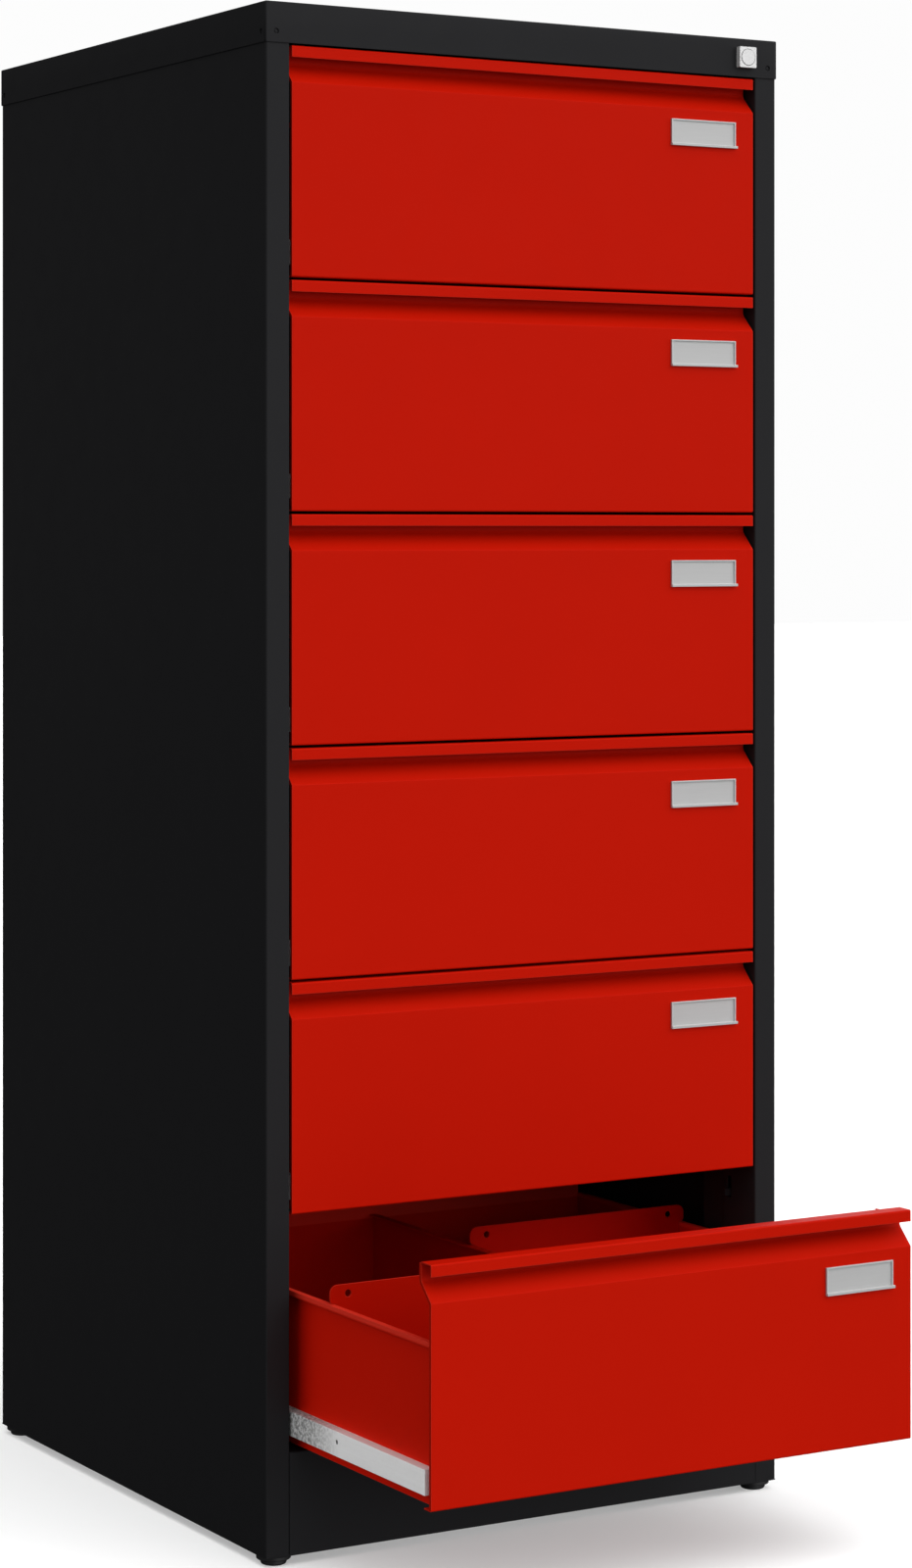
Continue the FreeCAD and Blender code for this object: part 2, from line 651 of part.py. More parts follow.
def follower(name, side, y, z):
    """Card stop that stands in one row and hangs by its ears on the rim and the divider."""
    body = piece(name, y, z)
    outline = [
        ("follower_inner", "follower_bottom"),
        ("follower_outer", "follower_bottom"),
        ("follower_outer", "ear_bottom"),
        ("ear_outer", "ear_bottom"),
        ("ear_outer", "ear_top"),
        ("ear_inner", "ear_top"),
        ("ear_inner", "ear_bottom"),
        ("follower_inner", "ear_bottom"),
    ]
    mirrored = [("%s * (%s)" % (side, u), w) for u, w in outline]
    holes = [eight_sided("%s * (%s)" % (side, u), "hole_height", "rod_hole")
             for u in ("ear_outer - rod_hole_inset", "ear_inner + rod_hole_inset")]
    pad(body, name + "_plate", "y", "0", "follower_sheet", [mirrored] + holes)
    rounded(body, name + "_ear_tops", "y", [("%s * (%s)" % (side, u), "ear_top")
            for u in ("ear_outer", "ear_inner")], "ear_top_radius")
    rounded(body, name + "_ear_ends", "y", [("%s * (%s)" % (side, u), "ear_bottom")
            for u in ("ear_outer", "ear_inner")], "ear_low_radius")
    foot = box("%s * follower_inner" % side, "%s * follower_outer" % side, "0", "follower_foot")
    pad(body, name + "_foot", "z", "follower_bottom", "follower_sheet", [foot])
    return body


def slides(name, y, z):
    """Pair of drawer slides: channels screwed to the tray, closed at the front; z from their middle."""
    body = piece(name, y, z)

    def channel(side):
        half = "slide_height / 2"
        inner = "slide_height / 2 - runner_sheet"
        outline = [
            ("slide_face", "-(%s)" % half),
            ("slide_face", half),
            ("tray_half", half),
            ("tray_half", inner),
            ("slide_web", inner),
            ("slide_web", "-(%s)" % inner),
            ("tray_half", "-(%s)" % inner),
            ("tray_half", "-(%s)" % half),
        ]
        return [("%s * (%s)" % (side, u), w) for u, w in outline]

    def end(side):
        half = "slide_height / 2"
        return box("%s * slide_face" % side, "%s * tray_half" % side, "-(%s)" % half, half)
    pad(body, name + "_channels", "y", "slide_inset", "slide_length", both_sides(channel))
    pad(body, name + "_ends", "y", "slide_inset", "runner_sheet", both_sides(end))
    return body


def ball_cages(name, y, z):
    """Pair of cages between rail and slide; y and z from a cage's front and middle.

    A ball has few faces: a wide six-sided block crossed by a narrow square one of its full height.
    """
    body = piece(name, y, z)

    def strip(side):
        outer = "race_height + cage_sheet / 2"
        inner = "race_height - cage_sheet / 2"
        outline = [
            ("cage_face", "-(%s)" % outer),
            ("cage_face", outer),
            ("cage_edge", outer),
            ("cage_edge", inner),
            ("cage_face - cage_sheet", inner),
            ("cage_face - cage_sheet", "-(%s)" % inner),
            ("cage_edge", "-(%s)" % inner),
            ("cage_edge", "-(%s)" % outer),
        ]
        return [("%s * (%s)" % (side, u), w) for u, w in outline]
    pad(body, name + "_strips", "y", "0", "cage_length", both_sides(strip))
    step = "((cage_length - 2 * ball_margin) / (ball_count - 1))"
    levels = ("race_height", "-(race_height)")
    for side in ("1", "-1"):
        for level in levels:
            for number in range(int(value("ball_count"))):
                place = "ball_margin + %d * %s" % (number, step)
                for sides, width, height in ((6, "ball_diameter", "ball_belt"), (4, "ball_cap", "ball_diameter")):
                    ball = body.newObject("PartDesign::AdditivePrism", name + "_ball")
                    ball.Polygon = sides
                    ball.setExpression("Circumradius", bound(width + " / 2"))
                    ball.setExpression("Height", bound(height))
                    ball.setExpression("Placement.Base.x", bound("%s * ball_place" % side))
                    ball.setExpression("Placement.Base.y", bound(place))
                    ball.setExpression("Placement.Base.z", bound("%s - %s / 2" % (level, height)))
    checked(body.Tip)
    return body


for number in range(1, int(value("drawer_count")) + 1):
    drawer = "drawer_%d_" % number
    steps_up = "(drawer_count - %d)" % number
    bottom = "first_bottom + %s * drawer_pitch" % steps_up
    open_by = "lowest_open" if number == int(value("drawer_count")) else "0"
    face = "-(%s)" % open_by
    slide_level = "%s + slide_centre" % bottom
    drawer_front(drawer + "front", face, bottom)
    label_holder(drawer + "label_holder", face, bottom)
    tray(drawer + "tray", face, bottom)
    divider(drawer + "divider", face, bottom)
    follower(drawer + "follower_left", -1, "left_follower - %s" % open_by, bottom)
    follower(drawer + "follower_right", 1, "right_follower - %s" % open_by, bottom)
    slides(drawer + "runners", face, slide_level)
    ball_cages(drawer + "ball_cages", "cage_place - %s / 2" % open_by, slide_level)


# Gang lock

lock_housing = piece("lock_housing", z="lock_z")
pad(lock_housing, "housing_block", "y", "-lock_face", "lock_proud",
    [box("lock_x - lock_width / 2", "lock_x + lock_width / 2", "-lock_height / 2", "lock_height / 2")])
rounded(lock_housing, "housing_corners", "y",
        [(u, w) for u in ("lock_x - lock_width / 2", "lock_x + lock_width / 2")
         for w in ("-lock_height / 2", "lock_height / 2")], "lock_edge")
pad(lock_housing, "housing_barrel", "y", "-cover_sheet - lock_proud / 2", "barrel_end + cover_sheet + lock_proud / 2",
    [], [("lock_x", "0", "barrel_diameter")])
pocket(lock_housing, "housing_bore", "y", "-lock_face - plug_proud", "lock_face + barrel_end + 2 * plug_proud", [],
       [("lock_x", "0", "plug_diameter + 2 * turning_gap")])

lock_plug = piece("lock_plug", z="lock_z")
pad(lock_plug, "plug_body", "y", "-lock_face - plug_proud", "lock_face + plug_proud + cam_front", [],
    [("lock_x", "0", "plug_diameter")])

lock_cam = piece("lock_cam", z="lock_z")
pad(lock_cam, "cam_disc", "y", "cam_front", "cam_sheet", [], [("lock_x", "0", "cam_diameter")])
pad(lock_cam, "cam_pin", "y", "cam_front + cam_sheet / 2", "pin_end - cam_front - cam_sheet / 2", [],
    [("lock_x + bar_travel / 2", "-bar_travel / 2", "pin_diameter")])

locking_bar = piece("locking_bar")
pad(locking_bar, "bar_strip", "y", "bar_place", "bar_sheet",
    [box("bar_inner", "bar_outer", "first_bottom + finger_place - bar_tail", "slot_z + arm_height / 2")])
low = "first_bottom + finger_place"
finger = pad(locking_bar, "bar_finger", "y", "bar_place", "bar_sheet",
             [box("finger_tip", "bar_inner + bar_sheet", low, low + " + finger_height")])
row_of(locking_bar, "bar_fingers", finger, "Z_Axis", "drawer_count", "(drawer_count - 1) * drawer_pitch")
pad(locking_bar, "bar_arm", "y", "bar_place", "bar_sheet",
    [box("arm_tip", "bar_inner + bar_sheet", "slot_z - arm_height / 2", "slot_z + arm_height / 2")])
pocket(locking_bar, "arm_slot", "y", "bar_place - bar_sheet", "3 * bar_sheet",
       [box("slot_near", "slot_far", "slot_z - slot_half", "slot_z + slot_half")])


# Checks and files

doc.recompute()
for item in doc.Objects:
    if "Invalid" in item.State or "Error" in item.State:
        raise RuntimeError(item.Label + " is in a failed state")
for node in nodes:
    if node.Shape.isNull() or not node.Shape.isValid() or not node.Shape.Solids:
        raise RuntimeError(node.Label + " has no valid solid")

os.makedirs("parts", exist_ok=True)
for node in nodes:
    node.Shape.exportStep("parts/%s.step" % node.Label)
print("wrote %d nodes" % len(nodes))
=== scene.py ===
"""Looks of the card index cabinet: camera, light, paint and metal finishes, round holes, rivets and feet."""

import math

import bmesh
import bpy
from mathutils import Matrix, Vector


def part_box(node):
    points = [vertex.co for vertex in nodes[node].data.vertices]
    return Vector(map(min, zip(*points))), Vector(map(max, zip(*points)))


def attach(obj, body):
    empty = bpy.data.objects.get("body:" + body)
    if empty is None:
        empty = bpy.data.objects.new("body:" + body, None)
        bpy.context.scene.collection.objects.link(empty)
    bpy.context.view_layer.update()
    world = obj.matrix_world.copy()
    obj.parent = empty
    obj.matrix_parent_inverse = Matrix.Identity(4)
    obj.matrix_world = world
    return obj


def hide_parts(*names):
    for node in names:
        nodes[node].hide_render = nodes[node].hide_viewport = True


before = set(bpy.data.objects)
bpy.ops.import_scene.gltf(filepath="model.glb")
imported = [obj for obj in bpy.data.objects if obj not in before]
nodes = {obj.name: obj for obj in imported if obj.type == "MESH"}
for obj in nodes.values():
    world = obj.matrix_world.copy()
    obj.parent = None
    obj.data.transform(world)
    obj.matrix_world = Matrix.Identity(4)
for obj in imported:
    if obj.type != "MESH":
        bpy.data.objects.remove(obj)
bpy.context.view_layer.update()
MM = 0.001
DRAWERS = range(1, 7)

# Camera at the photograph's place

camera_data = bpy.data.cameras.new("photo_camera")
camera_data.sensor_fit = "AUTO"
camera_data.sensor_width = 36.0
camera_data.lens = 85.524
camera_data.shift_y = -0.16187
camera_data.clip_end = 60.0
camera = bpy.data.objects.new("photo_camera", camera_data)
camera.location = (-1.6770, -2.88575, 0.8576)
camera.rotation_euler = (math.radians(90.0), 0.0, math.radians(-30.4065))
bpy.context.scene.collection.objects.link(camera)
bpy.context.scene.camera = camera


# Materials

def new_material(name):
    """A node material with its shader, and the helpers that add nodes to it."""
    material = bpy.data.materials.new(name)
    material.use_nodes = True
    tree = material.node_tree
    shader = tree.nodes["Principled BSDF"]

    def node(kind, **settings):
        made = tree.nodes.new(kind)
        for key, setting in settings.items():
            if hasattr(made, key):
                setattr(made, key, setting)
            else:
                made.inputs[key.replace("_", " ")].default_value = setting
        return made

    return material, shader, node, tree.links.new


def ramp_between(node, link, source, low, high, near, far):
    """A value carried from one range to another."""
    reach = node("ShaderNodeMapRange")
    link(source, reach.inputs["Value"])
    for key, number in (("From Min", low), ("From Max", high), ("To Min", near), ("To Max", far)):
        reach.inputs[key].default_value = number
    return reach.outputs["Result"]


def mixed(node, link, factor, first, second):
    """One colour carried into another by a factor; each is a colour or another node's output."""
    mix = node("ShaderNodeMix", data_type="RGBA")
    link(factor, mix.inputs["Factor"])
    for key, colour in (("A", first), ("B", second)):
        if isinstance(colour, tuple):
            mix.inputs[key].default_value = (*colour, 1.0)
        else:
            link(colour, mix.inputs[key])
    return mix.outputs["Result"]


def scaled(colour, factor):
    return tuple(min(1.0, factor * channel) for channel in colour)


def softened_edge(node, link, edge, height, strength):
    """Rounded shading at the edges with fine relief on top; also says where the edges are, from 0 to 1, for
    a painted highlight there.
    """
    soft = node("ShaderNodeBevel", samples=8, Radius=edge)
    bump = node("ShaderNodeBump", Strength=strength, Distance=0.0002)
    link(height, bump.inputs["Height"])
    link(soft.outputs["Normal"], bump.inputs["Normal"])
    face = node("ShaderNodeNewGeometry")
    turn = node("ShaderNodeVectorMath", operation="DOT_PRODUCT")
    link(soft.outputs["Normal"], turn.inputs[0])
    link(face.outputs["True Normal"], turn.inputs[1])
    where = ramp_between(node, link, turn.outputs["Value"], 0.86, 0.985, 1.0, 0.0)
    return bump.outputs["Normal"], where


def fold_shade_mask(node, link, reach):
    """How far a spot lies in the folds and corners of its own piece, from 0 in the open to 1; the coat is
    darkened there as painted shade.
    """
    opened = node("ShaderNodeAmbientOcclusion", samples=6, only_local=True, Distance=reach)
    return ramp_between(node, link, opened.outputs["AO"], 0.15, 1.0, 1.0, 0.0)


def paint(name, colour, painted_highlight, fold_shade, roughness, gloss, peel, edge, rim_highlight_from=None):
    """Powder coat: faint clouds, orange peel, a painted highlight at bends and above a hem, painted shade in
    folds.
    """
    material, shader, node, link = new_material(name)
    place = node("ShaderNodeTexCoord").outputs["Object"]
    cloud = node("ShaderNodeTexNoise", Scale=7.0, Detail=3.0, Roughness=0.6)
    fine = node("ShaderNodeTexNoise", Scale=900.0, Detail=2.0, Roughness=0.5)
    wide = node("ShaderNodeTexNoise", Scale=38.0, Detail=2.0, Roughness=0.5)
    for noise in (cloud, fine, wide):
        link(place, noise.inputs["Vector"])
    normal, highlight_mask = softened_edge(node, link, edge, fine.outputs["Fac"], peel)
    coat = mixed(node, link, cloud.outputs["Fac"], scaled(colour, 0.965), scaled(colour, 1.035))
    # Painted shade: the coat is darkened in its piece's folds and corners.
    coat = mixed(node, link, fold_shade_mask(node, link, FOLD_SHADE_REACH), coat, fold_shade)
    # Painted highlight: above the given level the coat is mixed half way to the lighter colour.
    if rim_highlight_from is not None:
        apart = node("ShaderNodeSeparateXYZ")
        link(place, apart.inputs["Vector"])
        rim_highlight = ramp_between(node, link, apart.outputs["Z"], rim_highlight_from, rim_highlight_from + MM, 0.0, 0.5)
        coat = mixed(node, link, rim_highlight, coat, painted_highlight)
    # Painted highlight: the bends are mixed towards a lighter colour.
    link(mixed(node, link, highlight_mask, coat, painted_highlight), shader.inputs["Base Color"])
    rough = ramp_between(node, link, wide.outputs["Fac"], 0.3, 0.7, roughness - 0.03, roughness + 0.04)
    link(rough, shader.inputs["Roughness"])
    link(normal, shader.inputs["Normal"])
    shader.inputs["Specular IOR Level"].default_value = gloss
    return material


def metal(name, colour, painted_highlight, roughness, streak, edge, metallic, spangle, spots_from=None):
    """Plated metal: fine streaks, zinc spangle, a painted highlight at the edges, and dark mottled spots
    behind a place along Y.
    """
    material, shader, node, link = new_material(name)
    place = node("ShaderNodeTexCoord").outputs["Object"]
    stretch = node("ShaderNodeMapping")
    stretch.inputs["Scale"].default_value = streak
    link(place, stretch.inputs["Vector"])
    lines = node("ShaderNodeTexNoise", Scale=1.0, Detail=4.0, Roughness=0.65)
    link(stretch.outputs["Vector"], lines.inputs["Vector"])
    flakes = node("ShaderNodeTexVoronoi", Scale=420.0)
    link(place, flakes.inputs["Vector"])
    normal, highlight_mask = softened_edge(node, link, edge, lines.outputs["Fac"], 0.08)
    tone = mixed(node, link, lines.outputs["Fac"], scaled(colour, 0.93), scaled(colour, 1.05))
    speckle = node("ShaderNodeMix", data_type="RGBA", blend_type="OVERLAY")
    speckle.inputs["Factor"].default_value = spangle
    link(tone, speckle.inputs["A"])
    link(flakes.outputs["Color"], speckle.inputs["B"])
    plain = node("ShaderNodeHueSaturation", Saturation=0.12)
    link(speckle.outputs["Result"], plain.inputs["Color"])
    # Painted highlight: the edges are mixed towards a brighter colour.
    surface = mixed(node, link, highlight_mask, plain.outputs["Color"], painted_highlight)
    # Dark mottled spots on the part behind the given place along Y.
    if spots_from is not None:
        apart = node("ShaderNodeSeparateXYZ")
        link(place, apart.inputs["Vector"])
        behind = ramp_between(node, link, apart.outputs["Y"], spots_from, spots_from + SPOTS_FADE, 0.0, 1.0)
        spots = node("ShaderNodeTexNoise", Scale=330.0, Detail=3.0, Roughness=0.7)
        link(place, spots.inputs["Vector"])
        spotted = ramp_between(node, link, spots.outputs["Fac"], 0.42, 0.56, 0.35, 1.0)
        both = node("ShaderNodeMath", operation="MULTIPLY")
        link(behind, both.inputs[0])
        link(spotted, both.inputs[1])
        surface = mixed(node, link, both.outputs["Value"], surface, scaled(colour, 0.24))
    link(surface, shader.inputs["Base Color"])
    shader.inputs["Metallic"].default_value = metallic
    rough = ramp_between(node, link, lines.outputs["Fac"], 0.3, 0.7, roughness - 0.05, roughness + 0.06)
    link(rough, shader.inputs["Roughness"])
    link(normal, shader.inputs["Normal"])
    return material


def plastic(name, colour, roughness):
    """Moulded plastic with a fine matt grain."""
    material, shader, node, link = new_material(name)
    place = node("ShaderNodeTexCoord")
    grain = node("ShaderNodeTexNoise", Scale=1400.0, Detail=3.0)
    link(place.outputs["Object"], grain.inputs["Vector"])
    tone = mixed(node, link, grain.outputs["Fac"], scaled(colour, 0.85), scaled(colour, 1.15))
    link(tone, shader.inputs["Base Color"])
    shader.inputs["Roughness"].default_value = roughness
    bump = node("ShaderNodeBump", Strength=0.2, Distance=0.0001)
    link(grain.outputs["Fac"], bump.inputs["Height"])
    link(bump.outputs["Normal"], shader.inputs["Normal"])
    return material


def red_coat(name, rim_highlight_from=None):
    """The drawers' red powder coat, with a painted highlight above a level if one is given."""
    # A darker copy of the red is painted shade in folds.
    return paint(name, RED, RED_HIGHLIGHT, scaled(RED, 0.70), 0.46, 0.025, 0.08, COAT_EDGE, rim_highlight_from)


def zinc_plating(name, spots_from=None):
    """Bright zinc, as on rails and slides."""
    return metal(name, ZINC, ZINC_HIGHLIGHT, 0.38, (90.0, 12.0, 500.0), 0.0008, 0.2, 0.12, spots_from)


# How far the painted shade in folds reaches.
FOLD_SHADE_REACH = 30 * MM
SPOTS_FADE = 50 * MM
COAT_EDGE = 0.7 * MM
BLACK = (0.0208, 0.0209, 0.0225)
RED = (0.620, 0.0088, 0.0010)
# Painted highlight colour for the red coat's bends.
RED_HIGHLIGHT = (0.85, 0.060, 0.036)
ZINC = (0.90, 0.90, 0.893)
# Painted highlight colour for the zinc's edges.
ZINC_HIGHLIGHT = (1.0, 1.0, 0.99)
# In each finish the colour after the base one is a painted highlight at the edges; a paint's next colour is
# painted shade in its folds.
FINISHES = {
    "carcass_black": paint("black_powder_coat", BLACK, scaled(BLACK, 1.25), scaled(BLACK, 0.7),
                           0.42, 0.05, 0.12, COAT_EDGE),
    "drawer_red": red_coat("red_powder_coat"),
    "bright_zinc": zinc_plating("zinc_plated_steel"),
    "label_silver": metal("silver_holder", (0.56, 0.563, 0.56), (0.92, 0.92, 0.91), 0.50,
                          (30.0, 900.0, 900.0), 0.0006, 0.10, 0.0),
    "lock_silver": metal("chromed_lock", (0.52, 0.52, 0.525), (0.62, 0.62, 0.62), 0.30,
                         (700.0, 700.0, 700.0), 0.0004, 0.55, 0.0),
    "foot_black": plastic("black_plastic", (0.010, 0.010, 0.011), 0.55),
}

slot_of = {}
for name, thing in nodes.items():
    for holder in thing.material_slots:
        slot_of[name] = holder.material.name.split(".")[0]
        holder.material = FINISHES[slot_of[name]]


# Making pieces

def object_from(name, shape, finish):
    """A new object with a mesh and its finish."""
    bmesh.ops.recalc_face_normals(shape, faces=shape.faces)
    mesh = bpy.data.meshes.new(name)
    shape.to_mesh(mesh)
    shape.free()
    mesh.materials.append(finish)
    made = bpy.data.objects.new(name, mesh)
    bpy.context.scene.collection.objects.link(made)
    return made


def add_piece(name, shape, slot_name, body):
    """A piece of the object, in its slot's finish, on the body that carries it."""
    piece = object_from(name, shape, FINISHES[slot_name])
    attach(piece, body)
    return piece


HEAD_STEPS = 20


def in_metres(profile):
    """A turned form's profile, from millimetres."""
    return [(radius * MM, along * MM) for radius, along in profile]


def lathe(shape, profile, centre, axis, steps):
    """A turned form: profile of (radius, distance along the axis), from one end to the other."""
    turn = Vector((0, 0, 1)).rotation_difference(Vector(axis)).to_matrix()
    rings = []
    for radius, along in profile:
        if radius < 1e-7:
            ring = [shape.verts.new(Vector(centre) + turn @ Vector((0, 0, along)))] * steps
        else:
            angles = [2 * math.pi * (i + 0.5) / steps for i in range(steps)]
            ring = [shape.verts.new(Vector(centre) + turn @ Vector(
                (radius * math.cos(angle), radius * math.sin(angle), along))) for angle in angles]
        rings.append(ring)
    for lower, upper in zip(rings, rings[1:]):
        for i in range(steps):
            j = (i + 1) % steps
            corners = list(dict.fromkeys((lower[i], lower[j], upper[j], upper[i])))
            if len(corners) > 2:
                shape.faces.new(corners)


def drill(shape, centre, axis, radius, reach):
    """A round bar that reaches the same distance to both sides of its centre."""
    lathe(shape, [(0.0, -reach), (radius, -reach), (radius, reach), (0.0, reach)], centre, axis, 24)


def prism(shape, corners, start, end):
    """A bar along Y over an outline of (x, z) corners."""
    near = [shape.verts.new((x, start, z)) for x, z in corners]
    far = [shape.verts.new((x, end, z)) for x, z in corners]
    shape.faces.new(near)
    shape.faces.new(far[::-1])
    for i in range(len(corners)):
        j = (i + 1) % len(corners)
        shape.faces.new((near[j], near[i], far[i], far[j]))


def reworked(node_name, name, body, tool_shape, prepare=None):
    """The node's own form with the tools cut out of it, in the node's place."""
    shape = bmesh.new()
    shape.from_mesh(nodes[node_name].data)
    bmesh.ops.remove_doubles(shape, verts=shape.verts, dist=1e-6)
    bmesh.ops.dissolve_limit(shape, angle_limit=math.radians(0.5), verts=shape.verts, edges=shape.edges)
    if prepare:
        prepare(shape)
    slot_name = slot_of[node_name]
    piece = object_from(name, shape, FINISHES[slot_name])
    tool = object_from(name + "_tools", tool_shape, FINISHES[slot_name])
    cut = piece.modifiers.new("cut", "BOOLEAN")
    cut.operation = "DIFFERENCE"
    cut.solver = "EXACT"
    cut.object = tool
    bpy.context.view_layer.update()
    made = bpy.data.meshes.new_from_object(piece.evaluated_get(bpy.context.evaluated_depsgraph_get()))
    piece.modifiers.clear()
    piece.data = made
    bpy.data.objects.remove(tool)
    made.shade_smooth()
    made.set_sharp_from_angle(angle=math.radians(32.0))
    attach(piece, body)
    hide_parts(node_name)
    return piece


# Cover: bent top edges, clipped lower corners, and rivets in holes in its skirt

cover_low, cover_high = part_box("top_cover")
COVER_BEND = 1.3 * MM
RIVET_HOLE = 2.4 * MM
RIVET_DROP = 24.9 * MM
RIVET_FROM_MIDDLE = 247.5 * MM
RIVET_FROM_END = 8.2 * MM
RIVET_HEAD = [(1.5, -1.0), (1.5, -0.8), (1.1, -0.6), (0.6, -0.5), (0.0, -0.48)]
CORNER_CLIP = 1.4 * MM


def bend_top_edges(shape):
    """Rounds the edge where the cover's top turns down into its skirt."""
    top = cover_high.z - 0.01 * MM
    rim = [edge for edge in shape.edges if all(vertex.co.z > top for vertex in edge.verts)
           and any(abs(face.normal.z) < 0.5 for face in edge.link_faces)]
    bmesh.ops.bevel(shape, geom=rim, offset=COVER_BEND, segments=4, profile=0.5, affect="EDGES")


def rivet_spots():
    """Where the cover is riveted: centre on the skirt's outer face, and outward direction."""
    level = cover_high.z - RIVET_DROP
    for side in (-1, 1):
        for end, outward in ((cover_low.y, -1), (cover_high.y, 1)):
            yield (side * RIVET_FROM_MIDDLE, end, level), (0, outward, 0)
        for y in (cover_low.y + RIVET_FROM_END, cover_high.y - RIVET_FROM_END):
            yield (side * cover_high.x, y, level), (side, 0, 0)


cover_tools = bmesh.new()
rivets = bmesh.new()
for spot, outward in rivet_spots():
    drill(cover_tools, spot, outward, RIVET_HOLE, 1.5 * MM)
    lathe(rivets, in_metres(RIVET_HEAD), spot, outward, HEAD_STEPS)
for side in (-1, 1):
    outer = side * (cover_high.x + 0.5 * MM)
    inner = side * (cover_high.x - CORNER_CLIP)
    below = cover_low.z - 0.5 * MM
    triangle = [(outer, below), (inner, below), (outer, cover_low.z + CORNER_CLIP + 0.5 * MM)]
    prism(cover_tools, triangle, cover_low.y - MM, cover_low.y + 3 * MM)
    prism(cover_tools, triangle, cover_high.y - 3 * MM, cover_high.y + MM)
reworked("top_cover", "cover_shell", "root", cover_tools, bend_top_edges)
add_piece("cover_rivets", rivets, "carcass_black", "root")


# Feet: turned plastic, with softened edges on flange and pad

FOOT_FLANGE = 14.5
FOOT_PAD = 11.0
FOOT_STEP = 4.5
FOOT_TOP = 8.0
FOOT_PROFILE = [
    (0.0, 0.0),
    (FOOT_PAD - 1.8, 0.0),
    (FOOT_PAD - 0.7, 0.5),
    (FOOT_PAD, 1.6),
    (FOOT_PAD, FOOT_STEP - 0.3),
    (FOOT_PAD + 0.3, FOOT_STEP),
    (FOOT_FLANGE - 0.6, FOOT_STEP),
    (FOOT_FLANGE, FOOT_STEP + 0.6),
    (FOOT_FLANGE, FOOT_TOP - 0.5),
    (FOOT_FLANGE - 0.4, FOOT_TOP),
    (0.0, FOOT_TOP),
]

feet = bmesh.new()
feet_low, feet_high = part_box("feet")
foot_radius = FOOT_FLANGE * MM
for x in (feet_low.x + foot_radius, feet_high.x - foot_radius):
    for y in (feet_low.y + foot_radius, feet_high.y - foot_radius):
        lathe(feet, in_metres(FOOT_PROFILE), (x, y, feet_low.z), (0, 0, 1), 64)
turned_feet = add_piece("turned_feet", feet, "foot_black", "root")
turned_feet.data.shade_smooth()
turned_feet.data.set_sharp_from_angle(angle=math.radians(32.0))
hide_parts("feet")


# Lock: a dark ring as painted shade in the gap between plug and housing

plug_low, plug_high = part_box("lock_plug")
plug_centre = ((plug_low.x + plug_high.x) / 2, plug_low.y, (plug_low.z + plug_high.z) / 2)
# A dark ring at the plug's face, painted shade for the narrow gap.
gap_shade_ring = bmesh.new()
ring = [(7.05, -0.34), (7.05, -0.27), (7.5, -0.27), (7.5, -0.34)]
lathe(gap_shade_ring, in_metres(ring + ring[:1]), plug_centre, (0, -1, 0), 64)
add_piece("plug_gap_shade", gap_shade_ring, "carcass_black", "root")


# Drawers: round holes in the followers' ears, holes and screws in the slides, and a painted highlight along
# the trays' rims

HEM = 4.0 * MM
SIDE_BELOW_BACK = 10.0 * MM
EAR_HOLE = 3.0 * MM
EAR_HOLE_INSET = 17 * MM
EAR_HOLE_DROP = 7.6 * MM
SLIDE_HOLE = 2.0 * MM
SCREW_PLACES = (143, 271, 399)
SCREW_RISE = 1.5 * MM
SCREW_HEAD = [(0.0, -1.1), (2.05, -1.1), (2.05, -0.8), (1.5, -0.6), (0.0, -0.55)]
SPOTS_START = 140 * MM


def follower_holes(name):
    """The rod holes in a follower's two ears, seen along Y."""
    low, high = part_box(name)
    tools = bmesh.new()
    for x in (low.x + EAR_HOLE_INSET, high.x - EAR_HOLE_INSET):
        drill(tools, (x, low.y, high.z - EAR_HOLE_DROP), (0, 1, 0), EAR_HOLE, 4 * MM)
    return tools


def screw_spots(name):
    """Where a pair of slides is screwed on: centre on the web's outer face, and outward direction."""
    low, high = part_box(name)
    for x, outward in ((low.x, -1), (high.x, 1)):
        for behind in SCREW_PLACES:
            yield (x, low.y + behind * MM, (low.z + high.z) / 2 + SCREW_RISE), (outward, 0, 0)


def slide_holes(name):
    """Holes through the webs of a pair of slides, for the screws that hold the tray."""
    tools = bmesh.new()
    for spot, outward in screw_spots(name):
        drill(tools, spot, outward, SLIDE_HOLE, 3 * MM)
    return tools


def slide_screws(name):
    """Dark screw heads that sit in the slides' holes."""
    screws = bmesh.new()
    for spot, outward in screw_spots(name):
        lathe(screws, in_metres(SCREW_HEAD), spot, outward, HEAD_STEPS)
    return screws


for number in DRAWERS:
    drawer = "drawer_%d" % number
    tray = nodes[drawer + "_tray"]
    # Each tray's coat gets a painted highlight above the foot of its rim's hem.
    rim_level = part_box(drawer + "_tray")[1].z - SIDE_BELOW_BACK - HEM
    tray.material_slots[0].material = red_coat(drawer + "_tray_coat", rim_level)
    for side in ("left", "right"):
        node_name = "%s_follower_%s" % (drawer, side)
        reworked(node_name, node_name + "_plate", "%s_%s_stop" % (drawer, side), follower_holes(node_name))
    pair = reworked(drawer + "_runners", drawer + "_slides", drawer, slide_holes(drawer + "_runners"))
    # The slides get dark mottled spots behind this place.
    spots_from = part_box(drawer + "_runners")[0].y + SPOTS_START
    pair.data.materials[0] = zinc_plating(drawer + "_spotted_zinc", spots_from)
    add_piece(drawer + "_slide_screws", slide_screws(drawer + "_runners"), "carcass_black", drawer)


# Floor and light

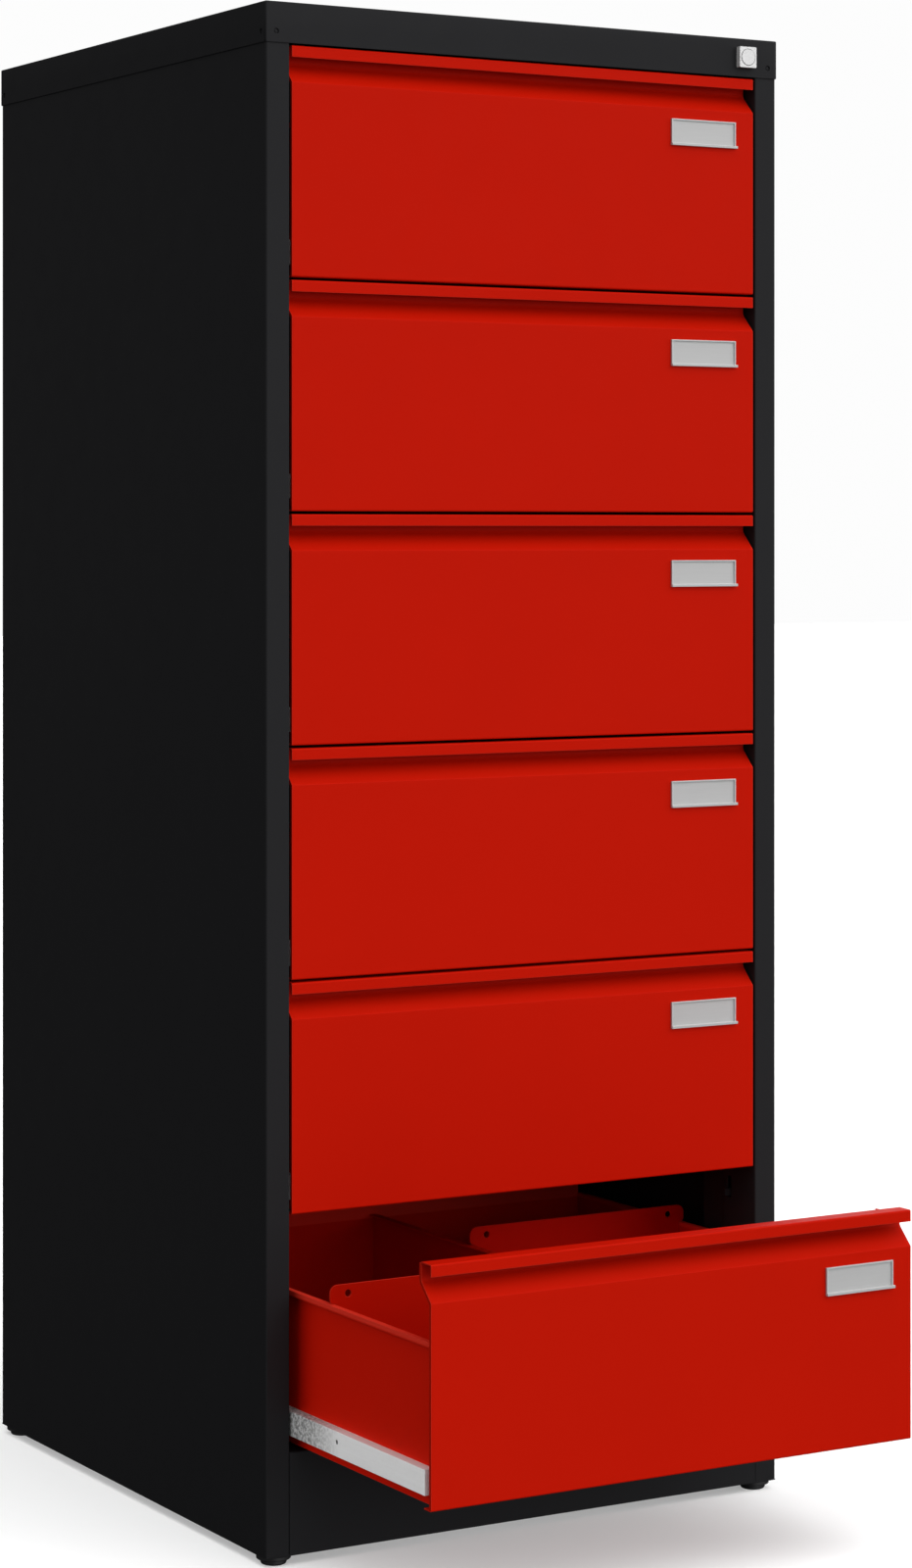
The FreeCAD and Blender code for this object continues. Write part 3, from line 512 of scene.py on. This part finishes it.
def add_floor():
    """A pale floor that throws back less light than it shows, as a studio floor under flags does."""
    material, shader, node, link = new_material("pale_floor")
    place = node("ShaderNodeTexCoord")
    cloud = node("ShaderNodeTexNoise", Scale=0.8, Detail=2.0)
    link(place.outputs["Object"], cloud.inputs["Vector"])
    tone = mixed(node, link, cloud.outputs["Fac"], (0.93, 0.93, 0.93), (0.95, 0.95, 0.95))
    seen = node("ShaderNodeLightPath").outputs["Is Camera Ray"]
    link(mixed(node, link, seen, (0.03, 0.03, 0.03), tone), shader.inputs["Base Color"])
    shader.inputs["Roughness"].default_value = 0.9
    shader.inputs["Specular IOR Level"].default_value = 0.0
    shape = bmesh.new()
    bmesh.ops.create_grid(shape, x_segments=8, y_segments=8, size=25.0)
    ground = object_from("floor", shape, material)
    return ground


floor = add_floor()


def group(name, things):
    """A collection that a lamp lights, or that casts shadows in its light."""
    collection = bpy.data.collections.new(name)
    for thing in things:
        collection.objects.link(thing)
    return collection


def soft_sun(name, direction, strength, spread, lit=None):
    """Light from one direction, spread over an angle in degrees, on everything or only on some objects."""
    data = bpy.data.lights.new(name, "SUN")
    data.energy = strength * math.pi
    data.angle = math.radians(spread)
    made = bpy.data.objects.new(name, data)
    bpy.context.scene.collection.objects.link(made)
    if lit:
        made.light_linking.receiver_collection = group("lit_by_" + name, lit)
    made.rotation_euler = Vector(direction).to_track_quat("Z", "Y").to_euler()
    return made


meshes = [thing for thing in bpy.context.scene.objects if thing.type == "MESH"]
object_pieces = [thing for thing in meshes if thing is not floor]
drawer_sides = [thing for thing in object_pieces if thing.name.endswith(("_tray", "_slides"))]
slides = [thing for thing in object_pieces if thing.name.endswith("_slides")]
outside = [thing for thing in object_pieces if not thing.name.endswith("_plate")]
soft_sun("key_light", (0.72, -0.60, 0.34), 0.47, 60.0)
soft_sun("high_light", (0.0, -0.42, 0.91), 0.30, 60.0)
soft_sun("front_light", (0.0, -0.98, 0.19), 0.25, 60.0, outside)
soft_sun("left_light", (-0.97, 0.0, 0.25), 0.21, 60.0)
soft_sun("rear_light", (0.5, 0.6, 0.6), 0.45, 60.0, object_pieces)
soft_sun("lock_light", (-0.99, 0.0, 0.12), 0.80, 50.0, [nodes["lock_housing"]])
back_light = soft_sun("back_light", (0.20, 0.97, 0.12), 0.50, 12.0, outside)
back_light.visible_glossy = False
soft_sun("floor_light", (0.0, -0.3, 1.0), 0.50, 100.0, [floor])
floor_fill = soft_sun("floor_fill", (0.0, -0.3, 1.0), 0.38, 100.0, [floor])
floor_fill.light_linking.blocker_collection = group("in_the_way_of_floor_fill", [floor])
soft_sun("side_light", (-0.88, 0.40, 0.15), 0.26, 50.0, drawer_sides)
soft_sun("slide_light", (-0.95, -0.25, 0.20), 0.31, 50.0, slides)
thrown_up = soft_sun("thrown_up_light", (0.15, -0.89, -0.42), 0.14, 60.0)
thrown_up.light_linking.blocker_collection = group("in_the_way_of_thrown_up_light", object_pieces)

world = bpy.data.worlds.new("studio")
world.use_nodes = True
bpy.context.scene.world = world
tree = world.node_tree
shed = tree.nodes["Background"]
shed.inputs["Color"].default_value = (1.0, 1.0, 1.0, 1.0)
shed.inputs["Strength"].default_value = 0.10
seen = tree.nodes.new("ShaderNodeBackground")
seen.inputs["Color"].default_value = (1.0, 1.0, 1.0, 1.0)
seen.inputs["Strength"].default_value = 0.98
rays = tree.nodes.new("ShaderNodeLightPath")
either = tree.nodes.new("ShaderNodeMixShader")
tree.links.new(rays.outputs["Is Camera Ray"], either.inputs["Fac"])
tree.links.new(shed.outputs["Background"], either.inputs[1])
tree.links.new(seen.outputs["Background"], either.inputs[2])
tree.links.new(either.outputs["Shader"], tree.nodes["World Output"].inputs["Surface"])

bpy.context.scene.view_settings.view_transform = "Standard"
bpy.context.scene.view_settings.look = "None"
